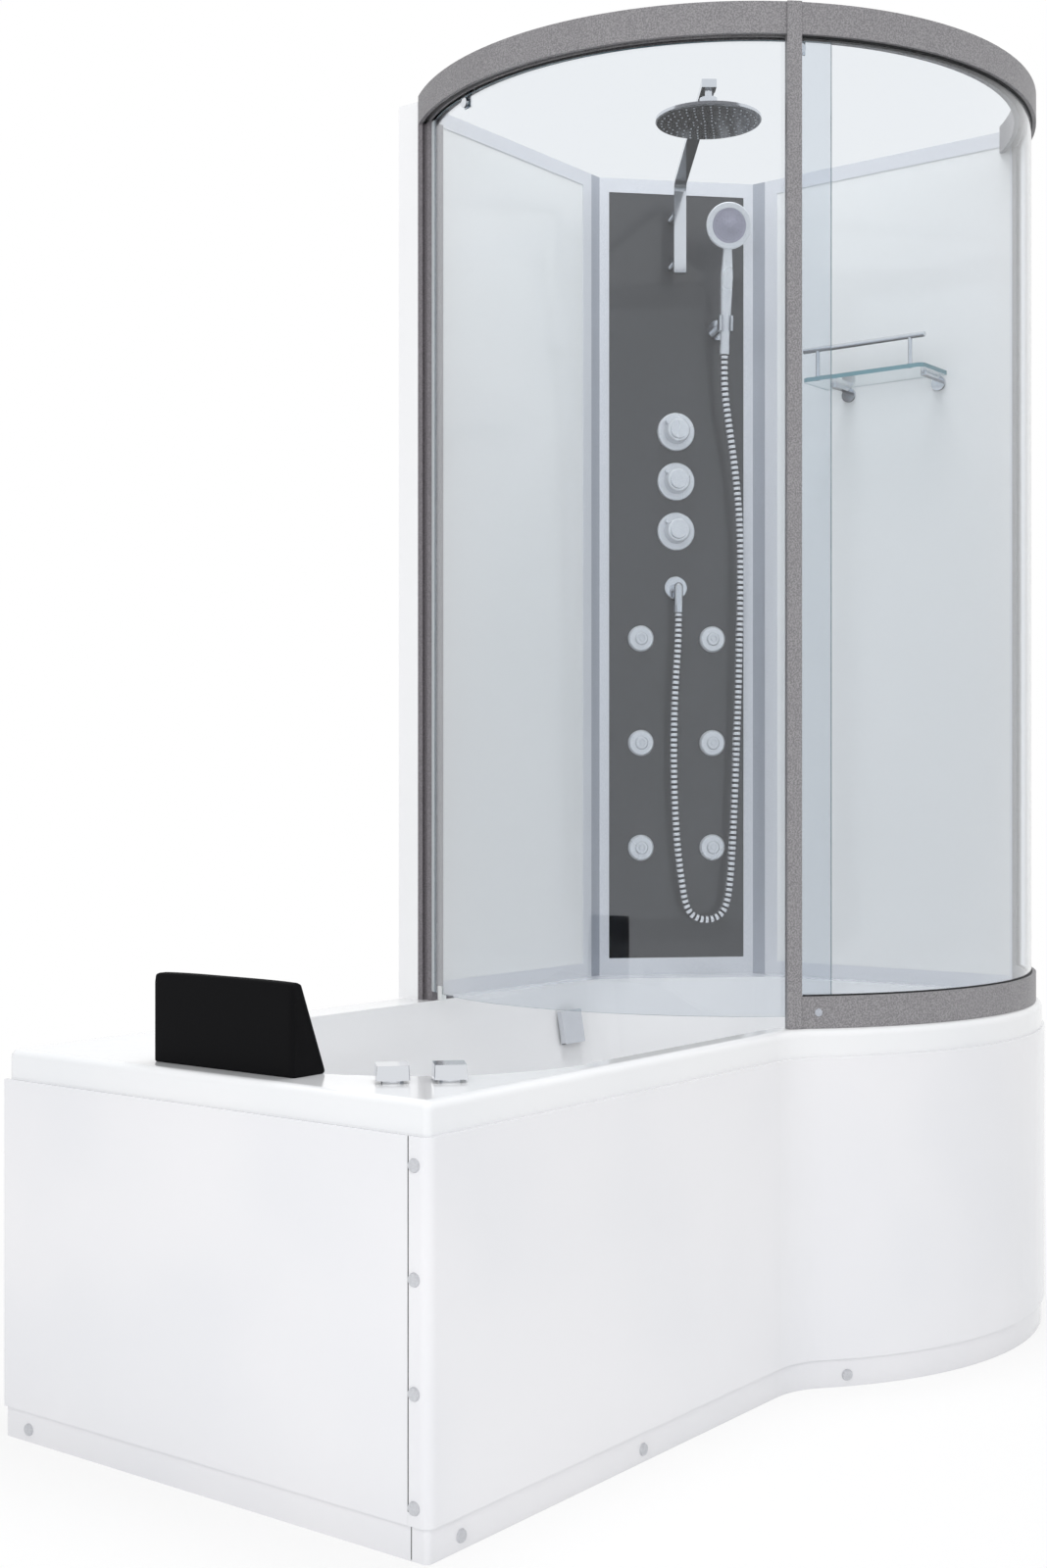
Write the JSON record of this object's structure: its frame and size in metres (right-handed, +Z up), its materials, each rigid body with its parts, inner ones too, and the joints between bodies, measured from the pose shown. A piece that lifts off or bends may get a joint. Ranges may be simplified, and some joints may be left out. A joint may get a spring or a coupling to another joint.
{
  "type": "bathtub with shower cabin",
  "caption": "Jetted bathtub with a rounded shower end, curved glass sliding door and a corner shower column with rain head, hand shower and body jets",
  "frame": {"origin": "on the floor below the middle of the bounding box", "axes": "+X along the bath to the shower end, +Y to the wall behind the bath, +Z up"},
  "size_m": [1.7, 0.98, 2.165],
  "materials": {
    "acrylic": "gloss",
    "white_plastic": "matt",
    "black_foam": "matt",
    "painted_steel": "powder coated",
    "zinc_steel": "zinc plated",
    "chrome": "polished",
    "black_plastic": "gloss",
    "white_glass": "back-painted, gloss",
    "grey_glass": "back-painted, gloss",
    "aluminium": "satin anodised",
    "brass": "cast",
    "clear_glass": "clear, tempered",
    "soft_seal": "translucent",
    "satin_plastic": "metallised, satin",
    "hose_metal": "polished, ribbed"
  },
  "bodies": {
    "bath": {"arm_mounts": "chrome", "back_wall_panel": "white_glass", "bath_jets": "chrome", "bath_pipework": "white_plastic", "bottom_rail": "aluminium", "circulation_pump": "black_plastic", "column_frame": "aluminium", "column_inlay": "black_plastic", "column_panel": "grey_glass", "column_rosettes": "chrome", "corner_profiles": "aluminium", "deck_knob_bases": "chrome", "door_post": "aluminium", "drain_flange": "chrome", "end_apron": "acrylic", "end_profile": "aluminium", "end_wall_panel": "white_glass", "fixed_glass": "clear_glass", "front_apron": "acrylic", "handset_holder": "chrome", "headrest": "black_foam", "hose_outlet": "chrome", "levelling_feet": "zinc_steel", "mixer_manifold": "brass", "plinth_strips": "acrylic", "profile_foot": "aluminium", "screw_caps": "white_plastic", "shelf_glass": "clear_glass", "shelf_rail": "chrome", "shower_arm": "chrome", "shower_hose": "hose_metal", "suction_fitting": "chrome", "support_frame": "painted_steel", "top_rail": "aluminium", "tub_shell": "acrylic", "wall_frames": "aluminium", "wall_profile": "aluminium", "waste_and_overflow": "white_plastic"},
    "door": {"door_glass": "clear_glass", "roller_brackets": "chrome", "lower_guides": "white_plastic", "door_seal": "soft_seal"},
    "roller_left": {"upper_roller_left": "white_plastic"},
    "roller_right": {"upper_roller_right": "white_plastic"},
    "upper_control": {"upper_knob": "chrome"},
    "middle_control": {"middle_knob": "chrome"},
    "lower_control": {"lower_knob": "chrome"},
    "hand_shower": {"handset": "satin_plastic"},
    "overhead_shower": {"rain_head": "chrome"},
    "jets_button": {"jets_knob": "chrome"},
    "air_regulator": {"air_knob": "chrome"},
    "overflow_turn_plate": {"overflow_plate": "chrome"},
    "waste_plug": {"drain_plug": "chrome"},
    "nozzle_1": {"jet_nozzle_1": "satin_plastic"},
    "nozzle_2": {"jet_nozzle_2": "satin_plastic"},
    "nozzle_3": {"jet_nozzle_3": "satin_plastic"},
    "nozzle_4": {"jet_nozzle_4": "satin_plastic"},
    "nozzle_5": {"jet_nozzle_5": "satin_plastic"},
    "nozzle_6": {"jet_nozzle_6": "satin_plastic"}
  },
  "joints": [
    {"name": "door_slide", "type": "hinge", "parent": "bath", "child": "door", "pos_m": [0.46, 0.09, 1.35], "axis": [0, 0, 1], "range_deg": [0, 74]},
    {"name": "roller_left_spin", "type": "hinge", "parent": "door", "child": "roller_left", "pos_m": [-0.04133, 0.27247, 2.1273], "axis": [-0.9397, 0.342, 0], "continuous": true},
    {"name": "roller_right_spin", "type": "hinge", "parent": "door", "child": "roller_right", "pos_m": [0.08276, -0.28724, 2.1273], "axis": [-0.7071, -0.7071, 0], "continuous": true},
    {"name": "upper_knob_turn", "type": "hinge", "parent": "bath", "child": "upper_control", "pos_m": [0.68494, 0.33119, 1.65], "axis": [-0.6959, -0.7181, 0], "range_deg": [-90, 90]},
    {"name": "middle_knob_turn", "type": "hinge", "parent": "bath", "child": "middle_control", "pos_m": [0.68494, 0.33119, 1.55], "axis": [-0.6959, -0.7181, 0], "range_deg": [-120, 120]},
    {"name": "lower_knob_turn", "type": "hinge", "parent": "bath", "child": "lower_control", "pos_m": [0.68494, 0.33119, 1.45], "axis": [-0.6959, -0.7181, 0], "range_deg": [0, 90]},
    {"name": "nozzle_1_swivel", "type": "hinge", "parent": "bath", "child": "nozzle_1", "pos_m": [0.63554, 0.38367, 1.234], "axis": [0.7181, -0.6959, 0], "range_deg": [-15, 15]},
    {"name": "nozzle_2_swivel", "type": "hinge", "parent": "bath", "child": "nozzle_2", "pos_m": [0.74109, 0.28136, 1.234], "axis": [0.7181, -0.6959, 0], "range_deg": [-15, 15]},
    {"name": "nozzle_3_swivel", "type": "hinge", "parent": "bath", "child": "nozzle_3", "pos_m": [0.63554, 0.38367, 1.025], "axis": [0.7181, -0.6959, 0], "range_deg": [-15, 15]},
    {"name": "nozzle_4_swivel", "type": "hinge", "parent": "bath", "child": "nozzle_4", "pos_m": [0.74109, 0.28136, 1.025], "axis": [0.7181, -0.6959, 0], "range_deg": [-15, 15]},
    {"name": "nozzle_5_swivel", "type": "hinge", "parent": "bath", "child": "nozzle_5", "pos_m": [0.63554, 0.38367, 0.815], "axis": [0.7181, -0.6959, 0], "range_deg": [-15, 15]},
    {"name": "nozzle_6_swivel", "type": "hinge", "parent": "bath", "child": "nozzle_6", "pos_m": [0.74109, 0.28136, 0.815], "axis": [0.7181, -0.6959, 0], "range_deg": [-15, 15]},
    {"name": "handset_lift", "type": "slide", "parent": "bath", "child": "hand_shower", "axis": [-0.0848, -0.0875, 0.9925], "range_m": [0, 0.07]},
    {"name": "rain_head_tilt", "type": "hinge", "parent": "bath", "child": "overhead_shower", "pos_m": [0.21285, -0.04056, 2.106], "axis": [-0.6157, 0.788, 0], "range_deg": [-15, 15]},
    {"name": "jets_press", "type": "slide", "parent": "bath", "child": "jets_button", "axis": [0, 0, -1], "range_m": [0, 0.003], "stiffness_N_per_m": 500},
    {"name": "air_turn", "type": "hinge", "parent": "bath", "child": "air_regulator", "pos_m": [-0.694, -0.217, 0.5643], "axis": [0, 0, 1], "range_deg": [0, 270]},
    {"name": "overflow_turn", "type": "hinge", "parent": "bath", "child": "overflow_turn_plate", "pos_m": [0.4, 0.3937, 0.478], "axis": [0, -0.9851, 0.1718], "range_deg": [0, 90]},
    {"name": "plug_lift", "type": "slide", "parent": "bath", "child": "waste_plug", "axis": [0, 0, 1], "range_m": [0, 0.01]}
  ],
  "couplings": [
    {"joint": "plug_lift", "follows": "overflow_turn", "m_per_rad": 0.006303}
  ]
}
